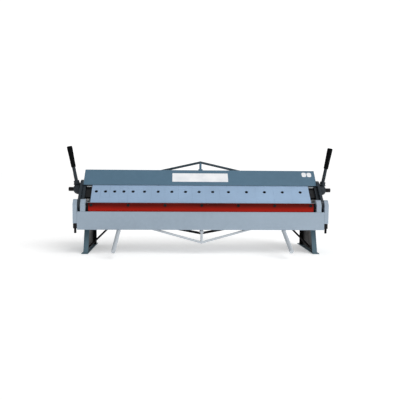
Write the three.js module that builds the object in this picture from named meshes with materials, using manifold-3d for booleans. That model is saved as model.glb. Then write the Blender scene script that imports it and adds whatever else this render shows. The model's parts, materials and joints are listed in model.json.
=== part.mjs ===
// Bench box-and-pan sheet metal brake, 1220 mm, with segmented clamping fingers.
// Millimetres, +Z up. X runs along the bend line, the operator stands on the -Y side.
// Every outline is drawn in the (y, z) plane of a cross section and extruded along X.
// While the parts are built, y = 0 is the bend line and z = 0 is the floor.
import * as THREE from 'three';
import { mergeVertices } from 'three/addons/utils/BufferGeometryUtils.js';
import Module from 'manifold-3d';

const wasm = await Module();
wasm.setup();

// ---- driving dimensions ----
const INCH = 25.4;
const FIT_GAP = 0.3;
const ROUND_STEPS = 32;
const SMALL_ROUND_STEPS = 20;

const BEND_HEIGHT = 283;
const FINGER_WIDTHS = [
  ...Array(5).fill(2 * INCH),
  ...Array(6).fill(3 * INCH),
  ...Array(5).fill(4 * INCH),
];
const CLAMP_LENGTH = FINGER_WIDTHS.reduce((sum, width) => sum + width, 0);

// apron: front plate, rear plate, bending bar, lugs and end bars round the hinge pins
const APRON = {
  halfLength: 676.7,
  front: -30,
  plateThickness: 8,
  bottom: 137,
  plateTop: 236,
  barHalfLength: 617,
  barFront: -19.5,
  rearPlateFront: -8,
  rearPlateBack: -1.5,
  rearPlateHalfLength: 631,
};
const LUG = { inner: 633, outer: 659, eyeRadius: 19, back: 16, bottom: 160 };
const END_BAR = { inner: 677, outer: 699.5, eyeRadius: 18.5, bottom: 172.4, back: -6 };
const EYE_SHOULDER = 275;
const HINGE_PIN = { radius: 8, clearance: 0.5, inner: 631.5, outer: 699.5 };

// bed: table plate on a shallow channel
const BED = {
  front: 1,
  back: 250,
  tableThickness: 12,
  tableHalfLength: 645,
  channelHalfLength: 631,
  channelBottom: 226,
  channelBack: 78,
  channelWall: 10,
};

// side frames and the beam arms that work between them
const SIDE = { inner: 662, outer: 675.5, footInner: 645.3, bottom: 226, blockTop: 270, eyeRadius: 16 };
const ARM = { inner: 646, outer: 660.5, bottom: 299, top: 375.5, eyeRadius: 24 };
const REAR_PIVOT = { y: 330, z: 345, pinRadius: 9, clearance: 0.6, inner: 640.5, outer: 680 };

// eccentric that lifts the beam: a disc on the lever shaft, turning in a slot of the arm
const CAM = { y: 120, z: 350, radius: 28, offset: 14.4, restAngle: 230, travel: 100, clearance: 1.4 };
const CAM_SHAFT = { radius: 11.5, clearance: 0.5, end: 746 };
const BEAM_LIFT_ANGLE = 5.5;
const SIDE_TOP_RADIUS = 53;

// lever: hub, leaning socket and rod, plastic grip
const LEVER = {
  hubInner: 682,
  hubOuter: 718,
  hubRadius: 29,
  hubNoseRadius: 15.5,
  rodInset: 5,
  neckRadius: 15,
  rimRadius: 19,
  rimHeight: 29,
  collarRadius: 15.5,
  socketTop: 50,
  rodRadius: 9.5,
  gripStart: 126,
  gripEnd: 245,
  lean: 11,
};

// fingers lie on a 45 degree slope; s runs up the slope from the tip, n runs into it
const SLOPE = Math.PI / 4;
const FINGER = { tipY: 1.5, tipZ: BEND_HEIGHT + 0.4, length: 129.4, thickness: 16, holeAt: 81.6 };
const FINGER_HOLE = { radius: 9.2, depth: 8, screwRadius: 5 };
const NOSE_BAR = { start: 55, end: 128.6, thickness: 18, halfLength: 645.4 };

// beam: sloped face plate; behind it a floor plate, ribs and a top flange
const FACE = {
  halfLength: 660.5,
  bottomY: 88.5,
  bottomZ: 376.2,
  topY: 163.5,
  topZ: 459.7,
  thickness: 10,
  flangeBack: 185,
};
const FLOOR_PLATE = { front: 106, bottom: 363.6, top: 374.6, halfLength: NOSE_BAR.halfLength };
const RIB = { positions: [-480, -240, 0, 240, 480], halfThickness: 4 };

// truss rods: apex height, slope of the rods, distance of the ends from the middle
const UPPER_TRUSS = { y: 194, apexZ: 505, slope: -0.225, end: 645.7, radius: 7 };
const APRON_TRUSS = { y: -15, apexZ: 66, slope: 0.277, end: 520, radius: 6.6 };
const BED_TRUSS = { y: 60, apexZ: 107, slope: 0.19, end: 585, radius: 7 };

const LEG = {
  webInner: 640,
  webOuter: 646,
  flangeInner: 622,
  flangeOuter: 649,
  sheet: 6,
  frontFoot: 0,
  frontTop: 84,
  back: 326,
  topFlangeBack: 366,
  top: 225.7,
  topFlangeInner: 604,
  topFlangeOuter: 675,
};
const FOOT = { inner: 622, outer: 658, front: -8, back: 379, thickness: 5, holeRadius: 5.5, holeInset: 22 };
const BRACE = { radius: 5.5, y: 118, lowX: 634, lowZ: 22, highX: 436, highZ: 217 };
const HANDLE = { x: 454, radius: 11, startY: -17, endY: -185, startZ: 130, endZ: 43, splay: 10 };
const HANDLE_BOSS = { halfWidth: 10.5, top: 172, bottom: 123 };
const ADJUSTER = { x: 688.5, y: -14, radius: 7, bottom: 117, nutRadius: 12.4, nutBottom: 143, nutTop: 170 };

// ---- finishes ----
const finish = (color, roughness, metalness) =>
  new THREE.MeshStandardMaterial({ color, roughness, metalness });
const FINISHES = {
  darkPaint: () => finish(0x5a7889, 0.5, 0.1),
  lightPaint: () => finish(0x96a8b6, 0.5, 0.1),
  redPaint: () => finish(0xa01c10, 0.45, 0.05),
  fingerSteel: () => finish(0xa3b4cc, 0.4, 0.5),
  bareSteel: () => finish(0xb4b8bc, 0.35, 0.9),
  legPaint: () => finish(0x47606e, 0.5, 0.1),
  sidePaint: () => finish(0x2f3a43, 0.5, 0.1),
  castHub: () => finish(0x333b42, 0.55, 0.3),
  blackSteel: () => finish(0x151618, 0.5, 0.6),
  greyRod: () => finish(0xa8b2bd, 0.45, 0.3),
  blackPlastic: () => finish(0x101214, 0.45, 0.0),
};

// ---- geometry helpers ----
const toSolid = (geometry) => {
  const bare = geometry.clone();
  bare.deleteAttribute('normal');
  bare.deleteAttribute('uv');
  const merged = mergeVertices(bare, 1e-4);
  return new wasm.Manifold(new wasm.Mesh({
    numProp: 3,
    vertProperties: new Float32Array(merged.attributes.position.array),
    triVerts: new Uint32Array(merged.index.array),
  }));
};

const toGeometry = (solid) => {
  const mesh = solid.getMesh();
  const geometry = new THREE.BufferGeometry();
  geometry.setAttribute('position', new THREE.BufferAttribute(mesh.vertProperties, 3));
  geometry.setIndex(new THREE.BufferAttribute(mesh.triVerts, 1));
  geometry.computeVertexNormals();
  return geometry;
};

const join = (...geometries) =>
  toGeometry(geometries.map(toSolid).reduce((body, next) => body.add(next)));

const cut = (geometry, ...tools) =>
  toGeometry(tools.map(toSolid).reduce((body, tool) => body.subtract(tool), toSolid(geometry)));

// a span [from, to] along X on the chosen side: -1 is left, +1 is right
const span = (side, inner, outer) => (side > 0 ? [inner, outer] : [-outer, -inner]);

const circle = (y, z, radius, steps = ROUND_STEPS) =>
  Array.from({ length: steps }, (_, i) => {
    const angle = (2 * Math.PI * i) / steps;
    return [y + radius * Math.cos(angle), z + radius * Math.sin(angle)];
  });

// convex outline round a set of (y, z) points
const hull = (points) => {
  const sorted = [...points].sort((a, b) => a[0] - b[0] || a[1] - b[1]);
  const turn = (o, a, b) => (a[0] - o[0]) * (b[1] - o[1]) - (a[1] - o[1]) * (b[0] - o[0]);
  const half = (list) => {
    const chain = [];
    for (const point of list) {
      while (chain.length > 1 && turn(chain.at(-2), chain.at(-1), point) <= 1e-6) chain.pop();
      chain.push(point);
    }
    return chain.slice(0, -1);
  };
  return [...half(sorted), ...half(sorted.reverse())];
};

// extrude a (y, z) outline along X
const YZ_TO_WORLD = new THREE.Matrix4().makeBasis(
  new THREE.Vector3(0, 1, 0),
  new THREE.Vector3(0, 0, 1),
  new THREE.Vector3(1, 0, 0),
);
const prism = (outline, [from, to]) => {
  const shape = new THREE.Shape(outline.map(([y, z]) => new THREE.Vector2(y, z)));
  const geometry = new THREE.ExtrudeGeometry(shape, { depth: to - from, bevelEnabled: false });
  return geometry.applyMatrix4(YZ_TO_WORLD).translate(from, 0, 0);
};

const block = ([x0, x1], [y0, y1], [z0, z1]) =>
  new THREE.BoxGeometry(x1 - x0, y1 - y0, z1 - z0)
    .translate((x0 + x1) / 2, (y0 + y1) / 2, (z0 + z1) / 2);

// turn a geometry built along +Y so that it points along a direction, and stand it on a point
const standOn = (geometry, start, direction) => {
  const turn = new THREE.Quaternion().setFromUnitVectors(
    new THREE.Vector3(0, 1, 0),
    direction.clone().normalize(),
  );
  return geometry.applyQuaternion(turn).translate(...start);
};

// round bar between two points
const rod = (start, end, radius, steps = SMALL_ROUND_STEPS) => {
  const along = new THREE.Vector3(...end).sub(new THREE.Vector3(...start));
  const length = along.length();
  const bar = new THREE.CylinderGeometry(radius, radius, length, steps).translate(0, length / 2, 0);
  return standOn(bar, start, along);
};

// solid of revolution about +Y from a profile of [radius, height] points
const turned = (profile, steps = ROUND_STEPS) =>
  new THREE.LatheGeometry(profile.map(([r, h]) => new THREE.Vector2(r, h)), steps);

const rodAlongX = ([from, to], y, z, radius, steps = ROUND_STEPS) =>
  rod([from, y, z], [to, y, z], radius, steps);

// a truss rod rises from the apex at the middle to one end; its ends are cut upright
const trussRod = ({ y, apexZ, slope, end, radius }, side, extra = 0) => {
  const geometry = rodAlongX(span(side, FIT_GAP / 2, end), y, apexZ, radius + extra, SMALL_ROUND_STEPS);
  const rise = new THREE.Matrix4().set(
    1, 0, 0, 0,
    0, 1, 0, 0,
    side * slope, 0, 1, 0,
    0, 0, 0, 1,
  );
  return geometry.applyMatrix4(rise);
};

// a point on the finger slope
const onSlope = (s, n) => [
  FINGER.tipY + s * Math.cos(SLOPE) + n * Math.sin(SLOPE),
  FINGER.tipZ + s * Math.sin(SLOPE) - n * Math.cos(SLOPE),
];

// ---- the scene graph ----
const brake = new THREE.Group();
const SIDES = [['left', -1], ['right', 1]];

const add = (name, geometry, material) => {
  const mesh = new THREE.Mesh(geometry, material());
  mesh.name = name;
  brake.add(mesh);
};

// ---- bed ----
const TABLE_BOTTOM = BEND_HEIGHT - BED.tableThickness;
const LUG_NOTCH = { back: LUG.eyeRadius + 2, inner: BED.channelHalfLength };

const addBed = () => {
  const half = BED.tableHalfLength;
  const table = block([-half, half], [BED.front, BED.back], [TABLE_BOTTOM, BEND_HEIGHT]);
  const notches = SIDES.map(([, side]) => block(
    span(side, LUG_NOTCH.inner, half + 5),
    [BED.front - 5, LUG_NOTCH.back],
    [TABLE_BOTTOM - 5, BEND_HEIGHT + 5],
  ));
  add('bed_table', cut(table, ...notches), FINISHES.bareSteel);

  const top = TABLE_BOTTOM - FIT_GAP;
  const wall = BED.channelWall;
  const channel = [
    [BED.front, BED.channelBottom],
    [BED.channelBack, BED.channelBottom],
    [BED.channelBack, BED.channelBottom + wall],
    [BED.front + wall, BED.channelBottom + wall],
    [BED.front + wall, top - wall],
    [BED.channelBack, top - wall],
    [BED.channelBack, top],
    [BED.front, top],
  ];
  add('bed_channel', prism(channel, [-BED.channelHalfLength, BED.channelHalfLength]), FINISHES.darkPaint);
};

// ---- truss: two rods and the strut that pushes their apex away from the plate ----
const STRUT_RADIUS = 6.8;

const addTruss = (prefix, truss, strut, material) => {
  for (const [sideName, side] of SIDES) {
    add(`${prefix}_truss_rod_${sideName}`, trussRod(truss, side), material);
  }
  const saddleTools = SIDES.map(([, side]) => trussRod(truss, side, FIT_GAP));
  add(`${prefix}_truss_strut`, cut(strut, ...saddleTools, apexFiller(truss)), material);
};

// closes the thin gap between the two rods of a saddle cut
const apexFiller = ({ y, apexZ, radius }) =>
  rodAlongX([-1, 1], y, apexZ, radius + FIT_GAP, SMALL_ROUND_STEPS);

const strutRod = ({ y }, fromZ, toZ) => rod([0, y, fromZ], [0, y, toZ], STRUT_RADIUS);

const addBedTruss = () => {
  const strut = strutRod(BED_TRUSS, BED_TRUSS.apexZ, BED.channelBottom - FIT_GAP);
  addTruss('bed', BED_TRUSS, strut, FINISHES.blackSteel);
};

// ---- side frames ----
const SHAFT_HOLE = CAM_SHAFT.radius + CAM_SHAFT.clearance;
const HINGE_HOLE = HINGE_PIN.radius + HINGE_PIN.clearance;
const REAR_HOLE = REAR_PIVOT.pinRadius + REAR_PIVOT.clearance;

const addSideFrame = (name, side) => {
  const width = span(side, SIDE.inner, SIDE.outer);
  const beyond = span(side, SIDE.footInner - 10, SIDE.outer + 10);
  const frontTower = hull([
    ...circle(0, BEND_HEIGHT, SIDE.eyeRadius),
    ...circle(CAM.y, CAM.z, SIDE_TOP_RADIUS),
    [2, SIDE.bottom],
    [215, SIDE.bottom],
  ]);
  const rearTower = hull([
    ...circle(REAR_PIVOT.y, REAR_PIVOT.z, ARM.eyeRadius),
    [262, SIDE.bottom],
    [360, SIDE.bottom],
  ]);
  const base = block(width, [2, 360], [SIDE.bottom, 292]);
  const mountingBlock = block(span(side, SIDE.footInner, SIDE.inner + 1), [20, 345], [SIDE.bottom, SIDE.blockTop]);
  const body = join(prism(frontTower, width), prism(rearTower, width), base, mountingBlock);
  const holes = [
    rodAlongX(beyond, 0, BEND_HEIGHT, HINGE_HOLE),
    rodAlongX(beyond, CAM.y, CAM.z, SHAFT_HOLE),
    rodAlongX(beyond, REAR_PIVOT.y, REAR_PIVOT.z, REAR_HOLE),
  ];
  add(`side_frame_${name}`, cut(body, ...holes), FINISHES.sidePaint);
};

// ---- legs, feet and braces ----
const addLeg = (name, side) => {
  const floorGap = FOOT.thickness + FIT_GAP;
  const lean = (z) => LEG.frontFoot + ((LEG.frontTop - LEG.frontFoot) * z) / LEG.top;
  const web = prism([
    [lean(floorGap), floorGap],
    [LEG.back, floorGap],
    [LEG.back, LEG.top],
    [lean(LEG.top), LEG.top],
  ], span(side, LEG.webInner, LEG.webOuter));
  const frontFlange = prism([
    [lean(floorGap), floorGap],
    [lean(floorGap) + LEG.sheet, floorGap],
    [lean(LEG.top) + LEG.sheet, LEG.top],
    [lean(LEG.top), LEG.top],
  ], span(side, LEG.flangeInner, LEG.flangeOuter));
  const rearFlange = block(
    span(side, LEG.flangeInner, LEG.webInner + 1),
    [LEG.back - LEG.sheet, LEG.back],
    [floorGap, LEG.top],
  );
  const topFlange = block(
    span(side, LEG.topFlangeInner, LEG.topFlangeOuter),
    [lean(LEG.top), LEG.topFlangeBack],
    [LEG.top - LEG.sheet, LEG.top],
  );
  add(`leg_${name}`, join(web, frontFlange, rearFlange, topFlange), FINISHES.legPaint);

  const plate = block(span(side, FOOT.inner, FOOT.outer), [FOOT.front, FOOT.back], [0, FOOT.thickness]);
  const holeX = side * (FOOT.inner + 9);
  const holes = [FOOT.front + FOOT.holeInset + 24, FOOT.back - FOOT.holeInset - 24]
    .map((y) => rod([holeX, y, -1], [holeX, y, FOOT.thickness + 1], FOOT.holeRadius));
  add(`foot_plate_${name}`, cut(plate, ...holes), FINISHES.legPaint);

  add(`leg_brace_${name}`, rod(
    [side * BRACE.lowX, BRACE.y, BRACE.lowZ],
    [side * BRACE.highX, BRACE.y, BRACE.highZ],
    BRACE.radius,
  ), FINISHES.blackSteel);
};

// ---- hinge pins ----
const addPins = (name, side) => {
  add(
    `apron_hinge_pin_${name}`,
    rodAlongX(span(side, HINGE_PIN.inner, HINGE_PIN.outer), 0, BEND_HEIGHT, HINGE_PIN.radius, SMALL_ROUND_STEPS),
    FINISHES.bareSteel,
  );
  add(
    `beam_pivot_pin_${name}`,
    rodAlongX(
      span(side, REAR_PIVOT.inner, REAR_PIVOT.outer),
      REAR_PIVOT.y,
      REAR_PIVOT.z,
      REAR_PIVOT.pinRadius,
      SMALL_ROUND_STEPS,
    ),
    FINISHES.bareSteel,
  );
};

// ---- apron ----
const PLATE_BACK = APRON.front + APRON.plateThickness;

const addApron = () => {
  const half = APRON.halfLength;
  add(
    'apron_front_plate',
    block([-half, half], [APRON.front, PLATE_BACK], [APRON.bottom, APRON.plateTop]),
    FINISHES.lightPaint,
  );
  const rearHalf = APRON.rearPlateHalfLength;
  add(
    'apron_rear_plate',
    block([-rearHalf, rearHalf], [APRON.rearPlateFront, APRON.rearPlateBack], [APRON.bottom + 25, BEND_HEIGHT - 0.5]),
    FINISHES.blackSteel,
  );
  const barHalf = APRON.barHalfLength;
  add(
    'bending_bar',
    block(
      [-barHalf, barHalf],
      [APRON.barFront, APRON.rearPlateFront - FIT_GAP],
      [APRON.plateTop + FIT_GAP, BEND_HEIGHT - 0.5],
    ),
    FINISHES.redPaint,
  );
  const strut = strutRod(APRON_TRUSS, APRON_TRUSS.apexZ, APRON.bottom + 20);
  const fitted = cut(strut, block([-20, 20], [APRON.front, PLATE_BACK + FIT_GAP], [APRON.bottom - 1, APRON.plateTop]));
  addTruss('apron', APRON_TRUSS, fitted, FINISHES.greyRod);
};

const addApronEnd = (name, side) => {
  const pinHole = rodAlongX(span(side, LUG.inner - 5, END_BAR.outer + 5), 0, BEND_HEIGHT, HINGE_HOLE);
  const lugSpan = span(side, LUG.inner, LUG.outer);
  const lugEye = prism(hull([
    ...circle(0, BEND_HEIGHT, LUG.eyeRadius),
    [APRON.front, EYE_SHOULDER],
    [APRON.front, APRON.plateTop + FIT_GAP],
    [LUG.back, APRON.plateTop + FIT_GAP],
  ]), lugSpan);
  const lugRoot = block(lugSpan, [PLATE_BACK + FIT_GAP, -3], [LUG.bottom, APRON.plateTop + 5]);
  add(`apron_lug_${name}`, cut(join(lugEye, lugRoot), pinHole), FINISHES.lightPaint);

  const barOutline = hull([
    ...circle(0, BEND_HEIGHT, END_BAR.eyeRadius),
    [APRON.front, END_BAR.bottom],
    [END_BAR.back, END_BAR.bottom],
    [APRON.front, EYE_SHOULDER],
  ]);
  add(
    `apron_end_bar_${name}`,
    cut(prism(barOutline, span(side, END_BAR.inner, END_BAR.outer)), pinHole),
    FINISHES.lightPaint,
  );

  const screwX = side * ADJUSTER.x;
  const screw = rod([screwX, ADJUSTER.y, ADJUSTER.bottom], [screwX, ADJUSTER.y, END_BAR.bottom - FIT_GAP], ADJUSTER.radius);
  const locknut = rod([screwX, ADJUSTER.y, ADJUSTER.nutBottom], [screwX, ADJUSTER.y, ADJUSTER.nutTop], ADJUSTER.nutRadius, 6);
  add(`apron_adjuster_${name}`, join(screw, locknut), FINISHES.blackSteel);

  const handleRod = rod(
    [side * HANDLE.x, HANDLE.startY, HANDLE.startZ],
    [side * (HANDLE.x + HANDLE.splay), HANDLE.endY, HANDLE.endZ],
    HANDLE.radius,
    ROUND_STEPS,
  );
  const boss = block(
    span(side, HANDLE.x - HANDLE_BOSS.halfWidth, HANDLE.x + HANDLE_BOSS.halfWidth),
    [PLATE_BACK + FIT_GAP, APRON.rearPlateFront - FIT_GAP],
    [HANDLE_BOSS.bottom, HANDLE_BOSS.top],
  );
  const clearOfTruss = trussRod(APRON_TRUSS, side, FIT_GAP);
  const clearOfPlate = block(
    span(side, HANDLE.x - 40, HANDLE.x + 40),
    [APRON.front - FIT_GAP, PLATE_BACK + FIT_GAP],
    [APRON.bottom - FIT_GAP, APRON.plateTop],
  );
  add(`apron_handle_${name}`, cut(join(handleRod, boss), clearOfTruss, clearOfPlate), FINISHES.greyRod);
};

// ---- beam ----
const BEAM_TRUSS_PAD = { halfWidth: 12, front: 166, thickness: 6 };

const addBeam = () => {
  const { bottomY, bottomZ, topY, topZ, thickness, flangeBack, halfLength } = FACE;
  const pitch = Math.atan2(topZ - bottomZ, topY - bottomY);
  const backShift = thickness / Math.sin(pitch);
  add('beam_face_plate', prism([
    [bottomY, bottomZ],
    [bottomY + backShift, bottomZ],
    [topY + backShift, topZ],
    [topY, topZ],
  ], [-halfLength, halfLength]), FINISHES.darkPaint);

  const nose = prism([
    onSlope(NOSE_BAR.start, FINGER.thickness + FIT_GAP),
    onSlope(NOSE_BAR.start, FINGER.thickness + NOSE_BAR.thickness),
    onSlope(NOSE_BAR.end, FINGER.thickness + NOSE_BAR.thickness),
    onSlope(NOSE_BAR.end + 1.5, FINGER.thickness + FIT_GAP + 1.5),
    onSlope(NOSE_BAR.end, FINGER.thickness + FIT_GAP),
  ], [-NOSE_BAR.halfLength, NOSE_BAR.halfLength]);
  const floorHalf = FLOOR_PLATE.halfLength;
  const web = prism([
    onSlope(NOSE_BAR.end - 20, FINGER.thickness + 6),
    onSlope(NOSE_BAR.end - 20, FINGER.thickness + NOSE_BAR.thickness),
    [140, FLOOR_PLATE.bottom + 2],
    [112, FLOOR_PLATE.bottom + 2],
  ], [-NOSE_BAR.halfLength, NOSE_BAR.halfLength]);
  const floor = block([-floorHalf, floorHalf], [FLOOR_PLATE.front, flangeBack], [FLOOR_PLATE.bottom, FLOOR_PLATE.top]);
  const behindFace = (z) => bottomY + (thickness + FIT_GAP) / Math.sin(pitch) + (z - bottomZ) / Math.tan(pitch);
  const underFlange = topZ - thickness;
  const flange = prism([
    [behindFace(underFlange), underFlange],
    [flangeBack, underFlange],
    [flangeBack, topZ],
    [behindFace(topZ), topZ],
  ], [-floorHalf, floorHalf]);
  const ribFoot = FLOOR_PLATE.top - 1;
  const ribTop = underFlange + 1;
  const ribs = RIB.positions.map((x) => prism([
    [FLOOR_PLATE.front, ribFoot],
    [flangeBack, ribFoot],
    [flangeBack, ribTop],
    [behindFace(ribTop), ribTop],
    [FLOOR_PLATE.front, FLOOR_PLATE.top + 5],
  ], [x - RIB.halfThickness, x + RIB.halfThickness]));
  add('beam_floor', join(floor, nose, web, flange, ...ribs), FINISHES.darkPaint);

  const pad = block(
    [-BEAM_TRUSS_PAD.halfWidth, BEAM_TRUSS_PAD.halfWidth],
    [BEAM_TRUSS_PAD.front, UPPER_TRUSS.y + STRUT_RADIUS],
    [topZ + FIT_GAP, topZ + BEAM_TRUSS_PAD.thickness],
  );
  addTruss('beam', UPPER_TRUSS, join(strutRod(UPPER_TRUSS, topZ + 2, UPPER_TRUSS.apexZ), pad), FINISHES.darkPaint);
};

// path of the eccentric's centre seen from the arm, while lever and beam turn together
const camPathInArm = () => Array.from({ length: 21 }, (_, i) => {
  const share = i / 20;
  const cam = THREE.MathUtils.degToRad(CAM.restAngle - share * CAM.travel);
  const lift = THREE.MathUtils.degToRad(share * BEAM_LIFT_ANGLE);
  const y = CAM.y + CAM.offset * Math.cos(cam) - REAR_PIVOT.y;
  const z = CAM.z + CAM.offset * Math.sin(cam) - REAR_PIVOT.z;
  return [
    REAR_PIVOT.y + y * Math.cos(lift) - z * Math.sin(lift),
    REAR_PIVOT.z + y * Math.sin(lift) + z * Math.cos(lift),
  ];
});

const addArm = (name, side) => {
  const width = span(side, ARM.inner, ARM.outer);
  const beyond = span(side, ARM.inner - 10, ARM.outer + 10);
  const frontLine = (z) => z - BEND_HEIGHT + 6;
  const body = prism(hull([
    [frontLine(ARM.bottom), ARM.bottom],
    [frontLine(ARM.top), ARM.top],
    [215, ARM.top],
    [165, ARM.bottom],
    ...circle(REAR_PIVOT.y, REAR_PIVOT.z, ARM.eyeRadius),
  ]), width);
  const slot = prism(hull(camPathInArm().flatMap(([y, z]) => circle(y, z, CAM.radius + CAM.clearance))), beyond);
  const pivotHole = rodAlongX(beyond, REAR_PIVOT.y, REAR_PIVOT.z, REAR_HOLE);
  add(`beam_arm_${name}`, cut(body, slot, pivotHole), FINISHES.sidePaint);
};

// ---- fingers ----
const addFingers = () => {
  const { length, thickness, holeAt } = FINGER;
  const outline = [onSlope(0, 0), onSlope(thickness, thickness), onSlope(length, thickness), onSlope(length, 0)];
  let edge = -CLAMP_LENGTH / 2;
  FINGER_WIDTHS.forEach((width, index) => {
    const middle = edge + width / 2;
    const halfBody = (width - FIT_GAP) / 2;
    const recess = rod(
      [middle, ...onSlope(holeAt, -2)],
      [middle, ...onSlope(holeAt, FINGER_HOLE.depth)],
      FINGER_HOLE.radius,
    );
    const bore = rod(
      [middle, ...onSlope(holeAt, 1)],
      [middle, ...onSlope(holeAt, thickness + 2)],
      FINGER_HOLE.screwRadius,
    );
    const number = String(index + 1).padStart(2, '0');
    add(
      `finger_${number}`,
      cut(prism(outline, [middle - halfBody, middle + halfBody]), recess, bore),
      FINISHES.fingerSteel,
    );
    edge += width;
  });
};

// ---- levers and eccentrics ----
const addLever = (name, side) => {
  const camAngle = THREE.MathUtils.degToRad(CAM.restAngle);
  const discY = CAM.y + CAM.offset * Math.cos(camAngle);
  const discZ = CAM.z + CAM.offset * Math.sin(camAngle);
  const disc = rodAlongX(span(side, ARM.inner + 0.5, ARM.outer), discY, discZ, CAM.radius);
  const shaft = rodAlongX(span(side, ARM.outer - 2, CAM_SHAFT.end), CAM.y, CAM.z, CAM_SHAFT.radius);
  add(`eccentric_shaft_${name}`, join(disc, shaft), FINISHES.blackSteel);

  const lean = THREE.MathUtils.degToRad(LEVER.lean);
  const hubMiddle = (LEVER.hubInner + LEVER.hubOuter) / 2;
  const alongLever = (distance) => [
    side * (hubMiddle - LEVER.rodInset + distance * Math.sin(lean)),
    CAM.y,
    CAM.z + distance * Math.cos(lean),
  ];
  const hubWidth = LEVER.hubOuter - LEVER.hubInner;
  const hub = turned([
    [0, 0],
    [LEVER.hubRadius - 2, 0],
    [LEVER.hubRadius, 2],
    [LEVER.hubRadius, hubWidth / 2],
    [(LEVER.hubRadius + LEVER.hubNoseRadius) / 2 + 1, hubWidth - 6],
    [LEVER.hubNoseRadius, hubWidth],
    [0, hubWidth],
  ]);
  standOn(hub, [side * LEVER.hubInner, CAM.y, CAM.z], new THREE.Vector3(side, 0, 0));
  const upLever = new THREE.Vector3(side * Math.sin(lean), 0, Math.cos(lean));
  const socket = turned([
    [0, 8],
    [LEVER.neckRadius, 8],
    [LEVER.neckRadius, LEVER.rimHeight - 4],
    [LEVER.rimRadius, LEVER.rimHeight],
    [LEVER.rimRadius, LEVER.rimHeight + 3],
    [LEVER.collarRadius, LEVER.rimHeight + 6],
    [LEVER.collarRadius, LEVER.socketTop - 2],
    [LEVER.collarRadius - 2, LEVER.socketTop],
    [0, LEVER.socketTop],
  ]);
  standOn(socket, alongLever(0), upLever);
  const leverRod = rod(alongLever(30), alongLever(LEVER.gripStart + 60), LEVER.rodRadius);
  const shaftHole = rodAlongX(span(side, LEVER.hubInner - 5, LEVER.hubOuter + 5), CAM.y, CAM.z, SHAFT_HOLE);
  add(`lever_${name}`, cut(join(hub, socket, leverRod), shaftHole), FINISHES.castHub);

  const length = LEVER.gripEnd - LEVER.gripStart;
  const bore = LEVER.rodRadius + FIT_GAP;
  const grip = turned([
    [0, 61],
    [bore, 61],
    [bore, 0],
    [12, 0],
    [13, 3],
    [13.5, 40],
    [15.2, length - 14],
    [15.2, length - 4],
    [12.5, length],
    [0, length],
  ]);
  add(`lever_grip_${name}`, standOn(grip, alongLever(LEVER.gripStart), upLever), FINISHES.blackPlastic);
};

// ---- assembly ----
addBed();
addBedTruss();
addApron();
addBeam();
addFingers();
for (const [name, side] of SIDES) {
  addSideFrame(name, side);
  addLeg(name, side);
  addPins(name, side);
  addApronEnd(name, side);
  addArm(name, side);
  addLever(name, side);
}

// the origin is the middle of the footprint, on the floor
const footprint = new THREE.Box3().setFromObject(brake).getCenter(new THREE.Vector3());
brake.position.set(0, -footprint.y, 0);

export default brake;
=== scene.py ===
import json
import math

import bpy
from mathutils import Matrix, Vector


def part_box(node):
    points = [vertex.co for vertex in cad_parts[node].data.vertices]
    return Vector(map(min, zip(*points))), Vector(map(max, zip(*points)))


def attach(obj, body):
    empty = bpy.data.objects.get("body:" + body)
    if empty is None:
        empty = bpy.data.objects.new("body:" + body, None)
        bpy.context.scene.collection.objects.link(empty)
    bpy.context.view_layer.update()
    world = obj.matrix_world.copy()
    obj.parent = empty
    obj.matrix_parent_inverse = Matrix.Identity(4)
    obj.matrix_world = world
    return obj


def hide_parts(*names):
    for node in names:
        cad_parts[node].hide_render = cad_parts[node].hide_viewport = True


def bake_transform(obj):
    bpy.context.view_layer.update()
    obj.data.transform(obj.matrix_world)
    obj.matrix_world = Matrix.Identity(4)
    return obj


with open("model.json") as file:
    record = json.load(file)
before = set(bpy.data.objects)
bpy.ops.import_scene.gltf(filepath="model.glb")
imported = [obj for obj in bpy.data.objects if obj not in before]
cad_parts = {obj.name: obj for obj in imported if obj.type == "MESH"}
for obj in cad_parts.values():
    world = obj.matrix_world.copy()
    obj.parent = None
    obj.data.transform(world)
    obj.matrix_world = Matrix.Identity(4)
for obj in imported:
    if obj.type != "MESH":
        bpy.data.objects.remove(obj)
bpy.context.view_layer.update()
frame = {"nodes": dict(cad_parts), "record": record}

# ---- places: millimetres, y measured back from the bend line, z up from the floor ----
MM = 0.001
SIDES = (("left", -1), ("right", 1))
pin_low, pin_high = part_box("apron_hinge_pin_left")
BEND_Y = (pin_low.y + pin_high.y) / 2
BEND_HEIGHT = (pin_low.z + pin_high.z) / 2 / MM


def at(x, y, z):
    return Vector((x * MM, BEND_Y + y * MM, z * MM))


def span(node):
    """Lowest and highest corner of a CAD node, in the same millimetres."""
    low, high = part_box(node)
    shift = Vector((0, BEND_Y, 0))
    return (low - shift) / MM, (high - shift) / MM


def stand(x, y, z, axis=(0, 0, 1)):
    """Puts a piece made along +Z at a point, with its own axis turned to the one given."""
    turn = Vector((0, 0, 1)).rotation_difference(Vector(axis))
    return Matrix.Translation(at(x, y, z)) @ turn.to_matrix().to_4x4()


# ---- materials ----
SLOT_COLOUR = {m["slot"]: tuple(m["base_color"][:3]) for m in frame["record"]["materials"]}
NODE_SLOT = {s["node"]: s["material_slot"] for s in frame["record"]["subparts"]}


def shade(colour, by):
    """A colour made lighter or darker, by one factor or by one for each channel."""
    factors = by if isinstance(by, tuple) else (by, by, by)
    return tuple(min(1.0, c * f) for c, f in zip(colour, factors))


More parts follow.
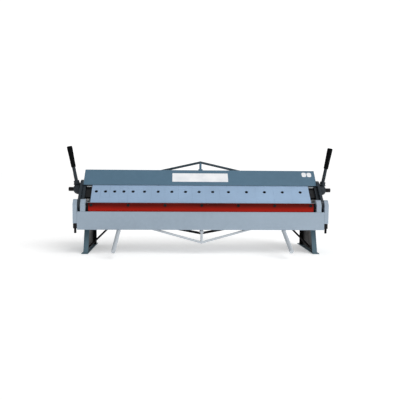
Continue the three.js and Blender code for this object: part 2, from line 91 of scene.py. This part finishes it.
class Shader:
    """One Principled material, with short calls for the nodes that feed it."""

    def __init__(self, name, **constants):
        self.material = bpy.data.materials.new(name)
        self.material.use_nodes = True
        self.tree = self.material.node_tree
        self.surface = self.tree.nodes["Principled BSDF"]
        self.place = self.add("ShaderNodeTexCoord").outputs["Object"]
        for socket, value in constants.items():
            self.surface.inputs[socket.replace("_", " ")].default_value = value

    def add(self, kind, **settings):
        made = self.tree.nodes.new(kind)
        for name, value in settings.items():
            setattr(made, name, value)
        return made

    def feed(self, socket, value):
        if isinstance(value, bpy.types.NodeSocket):
            self.tree.links.new(value, socket)
        elif isinstance(value, tuple):
            socket.default_value = (*value, 1.0)[:len(socket.default_value)]
        else:
            socket.default_value = value

    def noise(self, scale, detail=2.0, stretch=(1, 1, 1)):
        """Noise over the object, scale in features per metre."""
        mapping = self.add("ShaderNodeMapping")
        mapping.inputs["Scale"].default_value = stretch
        self.feed(mapping.inputs["Vector"], self.place)
        texture = self.add("ShaderNodeTexNoise")
        texture.inputs["Scale"].default_value = scale
        texture.inputs["Detail"].default_value = detail
        self.feed(texture.inputs["Vector"], mapping.outputs["Vector"])
        return texture.outputs["Fac"]

    def fit(self, value, low, high, to_low=0.0, to_high=1.0):
        made = self.add("ShaderNodeMapRange")
        for socket, number in zip(made.inputs, (value, low, high, to_low, to_high)):
            self.feed(socket, number)
        return made.outputs["Result"]

    def times(self, a, b):
        made = self.add("ShaderNodeMath", operation="MULTIPLY")
        self.feed(made.inputs[0], a)
        self.feed(made.inputs[1], b)
        return made.outputs[0]

    def mix(self, share, a, b):
        made = self.add("ShaderNodeMix", data_type="RGBA")
        self.feed(made.inputs[0], share)
        self.feed(made.inputs[6], a)
        self.feed(made.inputs[7], b)
        return made.outputs[2]

    def height(self, low, high):
        """Nothing below the low level and one above the high level, both in metres."""
        split = self.add("ShaderNodeSeparateXYZ")
        self.feed(split.inputs[0], self.place)
        return self.fit(split.outputs["Z"], low, high)

    def vector(self, operation, a, b):
        made = self.add("ShaderNodeVectorMath", operation=operation)
        self.feed(made.inputs[0], a)
        self.feed(made.inputs[1], b)
        return made.outputs["Value" if operation == "DOT_PRODUCT" else "Vector"]

    def edges(self, radius):
        """One on sharp edges, nothing on flat or gently round faces."""
        rounded = self.add("ShaderNodeBevel", samples=4)
        rounded.inputs["Radius"].default_value = radius
        normal = self.add("ShaderNodeNewGeometry").outputs["Normal"]
        return self.fit(self.vector("DOT_PRODUCT", rounded.outputs["Normal"], normal), 0.97, 0.80)

    def bump(self, height, strength, distance):
        made = self.add("ShaderNodeBump")
        made.inputs["Strength"].default_value = strength
        made.inputs["Distance"].default_value = distance
        self.feed(made.inputs["Height"], height)
        self.feed(self.surface.inputs["Normal"], made.outputs["Normal"])

    def finish(self, colour, roughness):
        self.feed(self.surface.inputs["Base Color"], colour)
        self.feed(self.surface.inputs["Roughness"], roughness)
        return self.material


def enamel(name, colour, gloss=0.36, peel=0.12, scuff=0.3):
    """Sprayed paint: broad drift, fine mottle, orange peel, and edges rubbed paler."""
    s = Shader(name, Specular_IOR_Level=0.35, Coat_Weight=0.08, Coat_Roughness=0.25)
    paint = s.mix(s.fit(s.noise(2.6, 3), 0.3, 0.7), shade(colour, 0.93), shade(colour, 1.07))
    paint = s.mix(s.fit(s.noise(48, 5), 0.4, 0.75, 0, 0.3), paint, shade(colour, 1.16))
    rubbed = s.times(s.edges(1.6 * MM), s.fit(s.noise(70, 4), 0.4, 0.62, 0, scuff))
    pale = tuple(c * 0.6 + 0.2 for c in colour)
    s.bump(s.noise(420, 2), peel, 0.4 * MM)
    return s.finish(s.mix(rubbed, paint, pale), s.fit(s.noise(24, 3), 0.3, 0.7, gloss - 0.05, gloss + 0.09))


def bar_with_painted_shade(name, colour, bright_below, dark_above):
    """Bar enamel with painted shade that darkens it towards its top edge, as under the fingers; the two
    heights are in metres.
    """
    s = Shader(name, Specular_IOR_Level=0.06)
    shade_streaks = s.fit(s.noise(9, 5, stretch=(0.5, 1, 5)), 0.25, 0.75, 0.75, 1.0)
    paint = s.mix(s.fit(s.noise(3, 3), 0.3, 0.7), shade(colour, 0.92), shade(colour, 1.08))
    # painted shade: the top of the bar blends to near-black red, unevenly along its length
    paint = s.mix(s.times(s.height(bright_below, dark_above), shade_streaks), paint, (0.045, 0.003, 0.002))
    s.bump(s.noise(380, 2), 0.1, 0.3 * MM)
    return s.finish(paint, s.fit(s.noise(24, 3), 0.3, 0.7, 0.40, 0.52))


def beam_inside(name, paint_colour, nose_shade_colour, painted_above):
    """Enamel on the ribs and flange; below the given height, in metres, the nose bar is near-black, painted
    shade for the gaps beside the finger ends.
    """
    s = Shader(name, Specular_IOR_Level=0.25)
    # painted shade: near-black with a faint mottle on the nose bar
    steel = s.mix(s.fit(s.noise(30, 4), 0.3, 0.7), shade(nose_shade_colour, 0.8), shade(nose_shade_colour, 2.2))
    paint = s.mix(s.fit(s.noise(2.6, 3), 0.3, 0.7), shade(paint_colour, 0.93), shade(paint_colour, 1.07))
    painted = s.height(painted_above - 1 * MM, painted_above + 1 * MM)
    s.bump(s.noise(400, 2), 0.12, 0.3 * MM)
    return s.finish(s.mix(painted, steel, paint), s.fit(s.noise(24, 3), 0.3, 0.7, 0.36, 0.5))


def channel_with_painted_shade(name, colour, middle):
    """Enamel outside, and near-black painted shade on the faces that look into the channel, towards its
    middle.
    """
    s = Shader(name, Specular_IOR_Level=0.08)
    normal = s.add("ShaderNodeNewGeometry").outputs["Normal"]
    inward = s.vector("DOT_PRODUCT", normal, s.vector("SUBTRACT", tuple(middle), s.place))
    paint = s.mix(s.fit(s.noise(3.2, 3), 0.3, 0.7), shade(colour, 0.93), shade(colour, 1.1))
    # painted shade: near-black inside the channel
    inner_shade = s.mix(s.fit(s.noise(30, 4), 0.3, 0.7), (0.003, 0.003, 0.003), (0.009, 0.0085, 0.008))
    s.bump(s.noise(360, 2), 0.15, 0.4 * MM)
    return s.finish(
        s.mix(s.fit(inward, -0.5 * MM, 0.5 * MM), paint, inner_shade), s.fit(s.noise(20, 3), 0.3, 0.7, 0.40, 0.56),
    )


def ground_steel(name, colour, metal, grain=0.10):
    """Steel ground along X: long faint lines in colour and height; each piece differs a little."""
    s = Shader(name, Metallic=metal)
    lines = s.noise(40, 6, stretch=(0.6, 16, 16))
    steel = s.mix(s.fit(lines, 0.3, 0.7), shade(colour, 0.92), shade(colour, 1.07))
    own = s.add("ShaderNodeObjectInfo").outputs["Random"]
    steel = s.mix(s.fit(own, 0, 1, 0, 0.5), steel, shade(colour, 0.93))
    steel = s.mix(s.fit(s.noise(7, 4), 0.45, 0.75, 0, 0.5), steel, shade(colour, 0.9))
    bright = s.times(s.edges(1.0 * MM), s.fit(s.noise(90, 3), 0.35, 0.6, 0.1, 0.5))
    s.bump(lines, grain, 0.2 * MM)
    return s.finish(s.mix(bright, steel, shade(colour, 1.35)), s.fit(s.noise(12, 3), 0.3, 0.7, 0.36, 0.5))


def rough_casting(name, colour):
    """Sand-cast iron under a thin paint."""
    s = Shader(name, Specular_IOR_Level=0.18)
    iron = s.mix(s.fit(s.noise(30, 4), 0.3, 0.7), shade(colour, 0.45), shade(colour, 0.85))
    rubbed = s.times(s.edges(2.0 * MM), s.fit(s.noise(80, 3), 0.4, 0.6, 0, 0.5))
    s.bump(s.noise(260, 5), 0.35, 0.7 * MM)
    return s.finish(s.mix(rubbed, iron, shade(colour, 3.2)), s.fit(s.noise(40, 3), 0.3, 0.7, 0.42, 0.62))


def black_oxide(name, colour):
    """Blackened steel: nearly black, with a brown-blue drift and oily gloss."""
    s = Shader(name, Specular_IOR_Level=0.1)
    skin = s.mix(s.fit(s.noise(35, 4), 0.35, 0.65), shade(colour, 0.8), (0.016, 0.014, 0.015))
    bright = s.times(s.edges(0.8 * MM), s.fit(s.noise(120, 3), 0.45, 0.65, 0, 0.35))
    s.bump(s.noise(500, 3), 0.12, 0.2 * MM)
    return s.finish(s.mix(bright, skin, (0.09, 0.09, 0.095)), s.fit(s.noise(60, 3), 0.3, 0.7, 0.3, 0.48))


def moulded(name, colour):
    """Moulded plastic: fine pebble grain and hand polish."""
    s = Shader(name, Specular_IOR_Level=0.04)
    plastic = s.mix(s.fit(s.noise(14, 4), 0.35, 0.7), shade(colour, 0.5), shade(colour, 1.3))
    s.bump(s.noise(900, 2), 0.3, 0.25 * MM)
    return s.finish(plastic, s.fit(s.noise(18, 3), 0.3, 0.7, 0.38, 0.6))


def printed_vinyl(name):
    """Plain white sticker, with faint smudges."""
    s = Shader(name, Coat_Weight=0.3, Coat_Roughness=0.2)
    white = s.mix(s.fit(s.noise(22, 4), 0.35, 0.7), (0.90, 0.91, 0.93), (0.80, 0.82, 0.85))
    s.bump(s.noise(160, 2), 0.05, 0.2 * MM)
    return s.finish(white, s.fit(s.noise(30, 3), 0.3, 0.7, 0.3, 0.42))


def pale_floor(name):
    s = Shader(name, Specular_IOR_Level=0.0, Emission_Color=(1, 1, 1, 1), Emission_Strength=0.32)
    pale = s.mix(s.noise(1.5, 3), (0.90, 0.90, 0.90), (0.92, 0.92, 0.92))
    return s.finish(pale, s.fit(s.noise(4), 0, 1, 0.7, 0.8))


MATERIALS = {
    "dark_paint": enamel("dark_paint", shade(SLOT_COLOUR["dark_paint"], (0.80, 0.85, 0.92))),
    "light_paint": enamel("light_paint", shade(SLOT_COLOUR["light_paint"], (0.94, 0.91, 0.92)), gloss=0.40),
    "frame_paint": enamel("frame_paint", shade(SLOT_COLOUR["frame_paint"], (1.2, 1.1, 1.0))),
    "side_paint": enamel("side_paint", shade(SLOT_COLOUR["side_paint"], 0.6), scuff=0.2),
    "red_paint": enamel("red_paint", SLOT_COLOUR["red_paint"], gloss=0.34, scuff=0.2),
    # Finger steel: its own colour tinted bluer, a painted blue reflection.
    "finger_steel": ground_steel(
        "finger_steel", shade(SLOT_COLOUR["finger_steel"], (0.97, 1.10, 1.15)), 0.35,
    ),
    "bare_steel": ground_steel("bare_steel", SLOT_COLOUR["bare_steel"], 0.55, grain=0.2),
    "hub_cast": rough_casting("hub_cast", SLOT_COLOUR["hub_cast"]),
    "black_steel": black_oxide("black_steel", SLOT_COLOUR["black_steel"]),
    "grey_rod": enamel(
        "grey_rod", shade(SLOT_COLOUR["grey_rod"], (1.20, 1.14, 1.07)), gloss=0.42, scuff=0.15,
    ),
    "black_grip": moulded("black_grip", shade(SLOT_COLOUR["black_grip"], 0.5)),
}
bar_low, bar_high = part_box("bending_bar")
finger_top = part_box("finger_01")[1].z
NODE_MATERIALS = {
    # The bending bar's enamel darkens towards its top edge: painted shade.
    "bending_bar": bar_with_painted_shade(
        "red_bar", SLOT_COLOUR["red_paint"], bar_low.z + 8 * MM, bar_high.z - 12 * MM,
    ),
    # The nose bar under the fingers is near-black: painted shade.
    "beam_floor": beam_inside(
        "beam_inside", SLOT_COLOUR["dark_paint"], SLOT_COLOUR["black_steel"], finger_top - 3 * MM,
    ),
}
# Leg channels: enamel outside, painted shade on the faces inside.
LEG_CHANNEL_X, LEG_CHANNEL_Y, LEG_CHANNEL_Z = 610, 200, 110
for name, side in SIDES:
    NODE_MATERIALS[f"leg_{name}"] = channel_with_painted_shade(
        f"leg_paint_{name}", shade(SLOT_COLOUR["frame_paint"], (1.35, 1.18, 1.10)),
        at(side * LEG_CHANNEL_X, LEG_CHANNEL_Y, LEG_CHANNEL_Z),
    )
    # Upper truss rods: the beam paint darkened to about a fifth, painted shade under the beam.
    NODE_MATERIALS[f"beam_truss_rod_{name}"] = enamel(
        f"truss_paint_{name}", shade(SLOT_COLOUR["dark_paint"], (0.20, 0.21, 0.22)), scuff=0.1,
    )
VINYL = printed_vinyl("white_vinyl")

# ---- CAD nodes: materials, soft shading and small edge radii, all as modifiers ----
SHARP = math.radians(32)
EDGE_RADIUS = {
    "bed_table": 1.0, "bed_channel": 2.0, "side_frame": 1.0, "leg_left": 1.0, "leg_right": 1.0,
    "foot_plate": 0.8, "apron_front_plate": 1.2, "apron_rear_plate": 0.6, "bending_bar": 0.6,
    "apron_lug": 1.0, "apron_end_bar": 1.0, "beam_face_plate": 1.5, "beam_floor": 0.8,
    "beam_arm": 0.8, "finger": 0.4,
}


def soft_shading():
    """Geometry nodes: joins split corners, drops stored normals, and smooths all but the sharp edges."""
    group = bpy.data.node_groups.new("soft_shading", "GeometryNodeTree")
    for direction in ("INPUT", "OUTPUT"):
        group.interface.new_socket("Geometry", in_out=direction, socket_type="NodeSocketGeometry")
    add = group.nodes.new
    start, end = add("NodeGroupInput"), add("NodeGroupOutput")
    forget = add("GeometryNodeRemoveAttribute")
    forget.inputs["Name"].default_value = "custom_normal"
    merge = add("GeometryNodeMergeByDistance")
    merge.inputs["Distance"].default_value = 0.01 * MM
    faces = add("GeometryNodeSetShadeSmooth")
    faces.domain = "FACE"
    edges = add("GeometryNodeSetShadeSmooth")
    edges.domain = "EDGE"
    edges.inputs["Shade Smooth"].default_value = False
    sharp = add("FunctionNodeCompare")
    sharp.operation = "GREATER_THAN"
    sharp.inputs[1].default_value = SHARP
    group.links.new(add("GeometryNodeInputMeshEdgeAngle").outputs[0], sharp.inputs[0])
    group.links.new(sharp.outputs[0], edges.inputs["Selection"])
    chain = (start, forget, merge, faces, edges, end)
    for one, following in zip(chain, chain[1:]):
        group.links.new(one.outputs[0], following.inputs[0])
    return group


SOFT_SHADING = soft_shading()
for node, obj in frame["nodes"].items():
    finish = NODE_MATERIALS.get(node, MATERIALS[NODE_SLOT[node]])
    for slot in obj.material_slots:
        slot.link = "OBJECT"
        slot.material = finish
    obj.modifiers.new("soft_shading", "NODES").node_group = SOFT_SHADING
    radius = next((r for start, r in EDGE_RADIUS.items() if node.startswith(start)), None)
    if radius:
        bevel = obj.modifiers.new("edge_radius", "BEVEL")
        bevel.width = radius * MM
        bevel.segments = 2
        bevel.limit_method = "ANGLE"
        bevel.angle_limit = SHARP
        obj.modifiers.new("flat_faces", "WEIGHTED_NORMAL").keep_sharp = True


# ---- mesh pieces ----
def piece(name, vertices, faces, body, slot, material=None, sharp=SHARP):
    """A shaded mesh at its place in the frame, riding on a body."""
    mesh = bpy.data.meshes.new(name)
    mesh.from_pydata([tuple(v) for v in vertices], [], faces)
    mesh.polygons.foreach_set("use_smooth", [True] * len(mesh.polygons))
    mesh.set_sharp_from_angle(angle=sharp)
    mesh.materials.append(material or MATERIALS[slot])
    obj = bpy.data.objects.new(name, mesh)
    bpy.context.scene.collection.objects.link(obj)
    if body:
        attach(obj, body)
    return obj


def ring(kind, radius, height, steps=24):
    """Points of one round or hexagonal ring; a hexagon's radius is half its width across flats."""
    points = []
    for i in range(steps):
        turn = math.tau * i / steps
        reach = radius / math.cos(turn % (math.pi / 3) - math.pi / 6) if kind == "hex" else radius
        points.append(Vector((reach * math.cos(turn), reach * math.sin(turn), height)) * MM)
    return points


def stack(rings, where, closed=False):
    """Vertices and faces of rings joined in turn; closed joins the last to the first, as in a nut."""
    steps = len(rings[0])
    vertices = [where @ p for points in rings for p in points]
    pairs = [(k, (k + 1) % len(rings)) for k in range(len(rings) - (0 if closed else 1))]
    faces = [
        (a * steps + i, a * steps + (i + 1) % steps, b * steps + (i + 1) % steps, b * steps + i)
        for a, b in pairs for i in range(steps)
    ]
    if not closed:
        faces.append(tuple(reversed(range(steps))))
        faces.append(tuple(range((len(rings) - 1) * steps, len(rings) * steps)))
    return vertices, faces


def turned(name, profile, where, body, slot, closed=False, steps=32):
    rings = [ring("round", radius, height, steps) for radius, height in profile]
    return piece(name, *stack(rings, where, closed), body, slot)


def socket_screw(name, where, body, head, height, socket, shank, length):
    """Cap screw whose head top is at the given point."""
    rings = [
        ring("round", shank, -height - length), ring("round", shank, -height),
        ring("round", head, -height), ring("round", head, -0.7), ring("round", head - 0.7, 0),
        ring("hex", socket + 0.3, 0), ring("hex", socket, -0.4), ring("hex", socket, -height * 0.6),
    ]
    return piece(name, *stack(rings, where), body, "black_steel")


def hex_bolt(name, where, body, flats, height, washer):
    """Washer and hexagon head, standing on the given point."""
    rings = [
        ring("round", washer, 0), ring("round", washer, 1.6), ring("round", washer - 0.4, 2.0),
        ring("round", flats * 0.94, 2.0), ring("hex", flats, 2.6), ring("hex", flats, height + 1.2),
        ring("round", flats * 0.96, height + 2.0), ring("round", flats * 0.5, height + 2.1),
    ]
    return piece(name, *stack(rings, where), body, "black_steel")


def hex_nut(name, where, body, flats, height, bore, slot):
    half = height / 2
    rings = [
        ring("round", bore, -half), ring("round", flats * 0.95, -half), ring("hex", flats, -half + 1),
        ring("hex", flats, half - 1), ring("round", flats * 0.95, half), ring("round", bore, half),
    ]
    return piece(name, *stack(rings, where, closed=True), body, slot)


def sweep(points, radius, steps=10):
    """Vertices and faces of a tube along points; radius is a number or one for each point."""
    radii = radius if isinstance(radius, list) else [radius] * len(points)
    rings = []
    side = None
    for k, centre in enumerate(points):
        ahead = (points[min(k + 1, len(points) - 1)] - points[max(k - 1, 0)]).normalized()
        side = ahead.orthogonal() if side is None else side - ahead * side.dot(ahead)
        side.normalize()
        across = ahead.cross(side)
        turns = [math.tau * i / steps for i in range(steps)]
        rings.append([centre + (side * math.cos(t) + across * math.sin(t)) * radii[k] * MM for t in turns])
    return stack(rings, Matrix.Identity(4))


WELD_RIPPLE = 3.4


def weld_beads(name, lines, body, slot, radius=2.6):
    """Fillet welds along straight lines, each a tube whose girth ripples; all in one piece."""
    vertices, faces = [], []
    for start, end in lines:
        start, end = at(*start), at(*end)
        count = max(4, round((end - start).length / MM / WELD_RIPPLE) * 2)
        points = [start.lerp(end, k / count) for k in range(count + 1)]
        girths = [radius * (1.0 if k % 2 else 0.84) for k in range(count + 1)]
        girths[0] = girths[-1] = radius * 0.45
        new_vertices, new_faces = sweep(points, girths, steps=8)
        faces += [tuple(i + len(vertices) for i in face) for face in new_faces]
        vertices += new_vertices
    return piece(name, vertices, faces, body, slot, sharp=math.radians(60))


def rounded_plate(name, width, height, corner, thickness, where, body, slot, material):
    """Thin plate with rounded corners and a chamfered rim, lying on the given place."""
    def outline(inset, level):
        points = []
        for quarter in range(4):
            sign_x = 1 if quarter in (0, 3) else -1
            sign_y = 1 if quarter in (0, 1) else -1
            for step in range(7):
                turn = math.pi / 2 * (quarter + step / 6)
                reach = corner - inset
                x = sign_x * (width / 2 - corner) + reach * math.cos(turn)
                y = sign_y * (height / 2 - corner) + reach * math.sin(turn)
                points.append(Vector((x, y, level)) * MM)
        return points
    rings = [outline(0, 0), outline(0, thickness * 0.6), outline(thickness * 0.6, thickness)]
    return piece(name, *stack(rings, where), body, slot, material)


# ---- fingers and bending bar: screws ----
FINGER_SLOPE = math.radians(45)
FINGER_HOLE_UP = 81.6
OUT_OF_FINGER = (0, -math.sin(FINGER_SLOPE), math.cos(FINGER_SLOPE))
SCREW_SUNK = 3.2
for node in sorted(n for n in frame["nodes"] if n.startswith("finger_")):
    low, high = span(node)
    y = low.y + FINGER_HOLE_UP * math.cos(FINGER_SLOPE) - SCREW_SUNK * OUT_OF_FINGER[1]
    z = low.z + FINGER_HOLE_UP * math.sin(FINGER_SLOPE) - SCREW_SUNK * OUT_OF_FINGER[2]
    where = stand((low.x + high.x) / 2, y, z, OUT_OF_FINGER)
    socket_screw(f"{node}_screw", where, "beam", head=8.2, height=4.4, socket=3.2, shank=4.4, length=6)

bar_front, bar_top = span("bending_bar")[0].y, span("bending_bar")[1].z
BAR_SCREWS = 7
BAR_SCREW_PITCH = 200.5
BAR_SCREW_DOWN = 11.5
BAR_SCREW_PROUD = 3
for i in range(BAR_SCREWS):
    x = (i - BAR_SCREWS // 2) * BAR_SCREW_PITCH
    where = stand(x, bar_front - BAR_SCREW_PROUD, bar_top - BAR_SCREW_DOWN, (0, -1, 0))
    socket_screw(
        f"bending_bar_screw_{i + 1}", where, "apron", head=8, height=3.2, socket=3, shank=4, length=4,
    )

# ---- beam: blank label and stickers, clamp strip ends, welds behind the face ----
RIBS = (-480, -240, 0, 240, 480)
FLOOR_PLATE_UNDER, FLOOR_PLATE_TOP = 363.6, 374.6
FLANGE_THICKNESS = 10
FLANGE_UNDER = span("beam_floor")[1].z - FLANGE_THICKNESS
FACE_RISE, FACE_RUN = 83.5, 75
face_low = span("beam_face_plate")[0]
face_pitch = math.atan2(FACE_RISE, FACE_RUN)
OUT_OF_FACE = Vector((0, -math.sin(face_pitch), math.cos(face_pitch)))
FACE_CLEARANCE = 0.05


def on_face(x, z):
    """A frame lying on the sloped face: its own y runs up the slope."""
    y = face_low.y + (z - face_low.z) / math.tan(face_pitch)
    up = Vector((0, math.cos(face_pitch), math.sin(face_pitch)))
    turn = Matrix((Vector((1, 0, 0)), up, OUT_OF_FACE)).transposed().to_4x4()
    return Matrix.Translation(at(x, y, z) + OUT_OF_FACE * FACE_CLEARANCE * MM) @ turn


rounded_plate("beam_label", 318, 63, 2.5, 0.8, on_face(-4, 418.5), "beam", "dark_paint", VINYL)
for i, x in enumerate((597.5, 627.5)):
    rounded_plate(
        f"beam_sticker_{i + 1}", 26, 32, 9, 0.6, on_face(x, 437.5), "beam", "dark_paint", VINYL,
    )

STRIP_END_X, STRIP_END_Y = 627, 97
for name, side in SIDES:
    rounded_plate(
        f"clamp_strip_end_{name}", 30, 14, 2, 5,
        stand(side * STRIP_END_X, STRIP_END_Y, FLOOR_PLATE_UNDER + 0.2),
        "beam", "bare_steel", MATERIALS["bare_steel"],
    )

WELD_FROM_RIB = 4.6


def beside_ribs(front, back, height):
    """One line along each side of every rib."""
    sides = [x + s * WELD_FROM_RIB for x in RIBS for s in (-1, 1)]
    return [((x, front, height), (x, back, height)) for x in sides]


weld_beads("rib_welds", beside_ribs(110, 182, FLOOR_PLATE_TOP), "beam", "dark_paint")
weld_beads("flange_welds", beside_ribs(172, 183, FLANGE_UNDER), "beam", "dark_paint", radius=2.2)

# ---- trusses: nuts, washers and collars ----
UPPER_TRUSS_Y, UPPER_TRUSS_APEX, UPPER_TRUSS_SLOPE = 194, 505, 0.225
COLLAR_X = 250
TRUSSES = (
    ("apron", "apron", -15, 124, "grey_rod"),
    ("bed", "frame", 60, 214, "black_steel"),
)
for name, body, y, z, slot in TRUSSES:
    hex_nut(f"{name}_truss_nut", stand(0, y, z), body, 10.5, 9, 6.9, slot)
    washer = [(6.9, 5), (12.5, 5), (12.5, 6.6), (6.9, 6.6)]
    turned(f"{name}_truss_washer", washer, stand(0, y, z), body, slot, closed=True)
for name, side in SIDES:
    height = UPPER_TRUSS_APEX - UPPER_TRUSS_SLOPE * COLLAR_X
    along_rod = (1, 0, -side * UPPER_TRUSS_SLOPE)
    turned(
        f"beam_truss_collar_{name}", [(7.1, -5), (10, -5), (10.5, -4.4), (10.5, 4.4), (10, 5), (7.1, 5)],
        stand(side * COLLAR_X, UPPER_TRUSS_Y, height, along_rod), "beam", "dark_paint", True,
    )

# ---- pivots, shafts, side frames and legs: washers, rings, bolts and welds ----
ECCENTRIC_Y, ECCENTRIC_HEIGHT = 120, 350
FRAME_BOLT_HEIGHT = 248
LEG_BOLT_X, LEG_BOLT_HEIGHT = 624, 219.6
LEG_OUTSIDE = 639.4
LEG_BACK = 326
LEG_WELD_HEIGHT = 5.4
for name, side in SIDES:
    outward = (side, 0, 0)
    frame_out = max(abs(c.x) for c in span(f"side_frame_{name}"))
    pivot_low, pivot_high = span(f"beam_pivot_pin_{name}")
    pivot_y, pivot_z = (pivot_low.y + pivot_high.y) / 2, (pivot_low.z + pivot_high.z) / 2
    turned(
        f"pivot_washer_{name}", [(9.2, 0.2), (16, 0.2), (16.5, 0.7), (16.5, 2), (16, 2.4), (9.2, 2.4)],
        stand(side * frame_out, pivot_y, pivot_z, outward), "frame", "black_steel", True,
    )
    pin_end = max(abs(c.x) for c in span(f"apron_hinge_pin_{name}"))
    turned(
        f"hinge_ring_{name}",
        [(3, 0.1), (11, 0.1), (11.4, 0.3), (11.4, 0.6), (11, 0.9), (3, 0.9), (2.6, 0.6), (2.6, 0.3)],
        stand(side * pin_end, 0, BEND_HEIGHT, outward), "apron", "black_steel", True,
    )
    shaft_end = max(abs(c.x) for c in span(f"eccentric_shaft_{name}"))
    turned(
        f"shaft_cap_{name}", [(2.2, 0.1), (9.6, 0.1), (9.0, 1.2), (3.2, 1.2), (2.2, 0.6)],
        stand(side * shaft_end, ECCENTRIC_Y, ECCENTRIC_HEIGHT, outward),
        f"lever_{name}", "black_steel", True,
    )
    for i, y in enumerate((70, 150, 230, 310)):
        where = stand(side * frame_out, y, FRAME_BOLT_HEIGHT, outward)
        hex_bolt(f"side_frame_bolt_{name}_{i + 1}", where, "frame", flats=8.5, height=5.5, washer=11.5)
    for i, y in enumerate((90, 300)):
        where = stand(side * LEG_BOLT_X, y, LEG_BOLT_HEIGHT, (0, 0, -1))
        hex_bolt(f"leg_bolt_{name}_{i + 1}", where, "frame", flats=8, height=5.5, washer=11)
    weld_beads(
        f"leg_welds_{name}",
        [((side * LEG_OUTSIDE, 14, LEG_WELD_HEIGHT), (side * LEG_OUTSIDE, LEG_BACK - 8, LEG_WELD_HEIGHT)),
         ((side * 624, 1.4, LEG_WELD_HEIGHT), (side * 647, 1.4, LEG_WELD_HEIGHT))],
        "frame", "frame_paint", radius=2.2,
    )

# ---- lift springs on their guide studs, between the bed and the beam ----
SPRING_X, SPRING_Y = 630, 150
SPRING_RADIUS = 8
SPRING_WIRE = 1.2
SPRING_TURNS = 9
SPRING_STEPS = 20
for name, side in SIDES:
    x, y = side * SPRING_X, SPRING_Y
    foot, top = BEND_HEIGHT + SPRING_WIRE, FLOOR_PLATE_UNDER - SPRING_WIRE
    stud_place = stand(x, y, BEND_HEIGHT)
    turned(
        f"guide_stud_{name}", [(5, 0), (5, 58), (4, 60)], stud_place, "frame", "bare_steel", steps=20,
    )
    path = []
    for k in range(SPRING_TURNS * SPRING_STEPS + 1):
        share = k / (SPRING_TURNS * SPRING_STEPS)
        turn = math.tau * SPRING_TURNS * share
        height = foot + SPRING_WIRE + (top - foot - 2 * SPRING_WIRE) * share
        path.append(at(x + SPRING_RADIUS * math.cos(turn), y + SPRING_RADIUS * math.sin(turn), height))
    coil = sweep(path, SPRING_WIRE, steps=8)
    spring = piece(f"lift_spring_{name}", *coil, None, "bare_steel", sharp=math.radians(80))
    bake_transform(spring)

# ---- adjusting screws with real threads, in place of the plain CAD ones ----
THREAD_PITCH = 2.0
THREAD_CREST = 7.0
THREAD_ROOT = THREAD_CREST - 0.9
LOCKNUT_HEIGHT = 156.5
for name, side in SIDES:
    node = f"apron_adjuster_{name}"
    low, high = span(node)
    x, y = (low.x + high.x) / 2, (low.y + high.y) / 2
    length = high.z - low.z
    rings = [ring("round", THREAD_CREST - 1.6, 0), ring("round", THREAD_CREST - 0.4, 1.0)]
    height = 1.6
    while height < length - THREAD_PITCH:
        rings.append(ring("round", THREAD_CREST, height))
        rings.append(ring("round", THREAD_ROOT, height + THREAD_PITCH / 2))
        height += THREAD_PITCH
    rings.append(ring("round", THREAD_ROOT, length))
    thread = stack(rings, stand(x, y, low.z))
    screw = piece(f"adjusting_screw_{name}", *thread, "apron", "black_steel", sharp=math.radians(70))
    nut_place = stand(x, y, LOCKNUT_HEIGHT)
    hex_nut(f"adjusting_nut_{name}", nut_place, "apron", 10.7, 27, THREAD_ROOT, "black_steel")
    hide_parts(node)

# ---- floor, light and camera ----
FLOOR_SIZE, FLOOR_DROP = 40, 0.0004
ROOM_LIGHT = 0.40
BACKDROP_LIGHT = 1.1
LAMP_AIM = Vector((0, 0, 0.3))

bpy.ops.mesh.primitive_plane_add(size=FLOOR_SIZE, location=(0, 0, -FLOOR_DROP))
floor = bpy.context.object
floor.name = "floor"
floor.data.materials.append(pale_floor("pale_floor"))

scene = bpy.context.scene
scene.view_settings.view_transform = "Standard"
world = bpy.data.worlds.new("studio")
world.use_nodes = True
sky = world.node_tree
dim = sky.nodes["Background"]
dim.inputs["Color"].default_value = (1, 1, 1, 1)
dim.inputs["Strength"].default_value = ROOM_LIGHT
backdrop = sky.nodes.new("ShaderNodeBackground")
backdrop.inputs["Color"].default_value = (1, 1, 1, 1)
backdrop.inputs["Strength"].default_value = BACKDROP_LIGHT
seen = sky.nodes.new("ShaderNodeLightPath")
choose = sky.nodes.new("ShaderNodeMixShader")
sky.links.new(seen.outputs["Is Camera Ray"], choose.inputs[0])
sky.links.new(dim.outputs[0], choose.inputs[1])
sky.links.new(backdrop.outputs[0], choose.inputs[2])
sky.links.new(choose.outputs[0], sky.nodes["World Output"].inputs["Surface"])
scene.world = world


def lamp(name, kind, place, energy, size):
    """A lamp aimed at the machine; size is the sun's angle, or the width and height of a softbox."""
    light = bpy.data.lights.new(name, kind)
    light.energy = energy
    if kind == "SUN":
        light.angle = size
    else:
        light.shape = "RECTANGLE"
        light.size, light.size_y = size
    obj = bpy.data.objects.new(name, light)
    obj.location = place
    obj.rotation_euler = (LAMP_AIM - Vector(place)).to_track_quat("-Z", "Y").to_euler()
    scene.collection.objects.link(obj)


lamp("key_light", "SUN", (2.4, -2.6, 3.4), 1.7, math.radians(50))
lamp("fill_light", "AREA", (2.3, -2.0, 0.5), 8, (1.0, 0.8))
lamp("back_light", "AREA", (0.4, 2.8, 2.4), 16, (2.4, 1.2))

CAMERA_PLACE = (-143, -2958, 510)
CAMERA_TURN, CAMERA_DOWN, CAMERA_ROLL = 2.58, 4.07, 0.45
SENSOR_WIDTH, FOCAL_LENGTH = 36, 48.58
camera_data = bpy.data.cameras.new("camera")
camera_data.sensor_width = SENSOR_WIDTH
camera_data.lens = FOCAL_LENGTH
camera = bpy.data.objects.new("camera", camera_data)
scene.collection.objects.link(camera)
aim = (
    Matrix.Rotation(math.radians(-CAMERA_TURN), 4, "Z")
    @ Matrix.Rotation(math.radians(90 - CAMERA_DOWN), 4, "X")
    @ Matrix.Rotation(math.radians(CAMERA_ROLL), 4, "Z")
)
camera.matrix_world = Matrix.Translation(at(*CAMERA_PLACE)) @ aim
scene.camera = camera
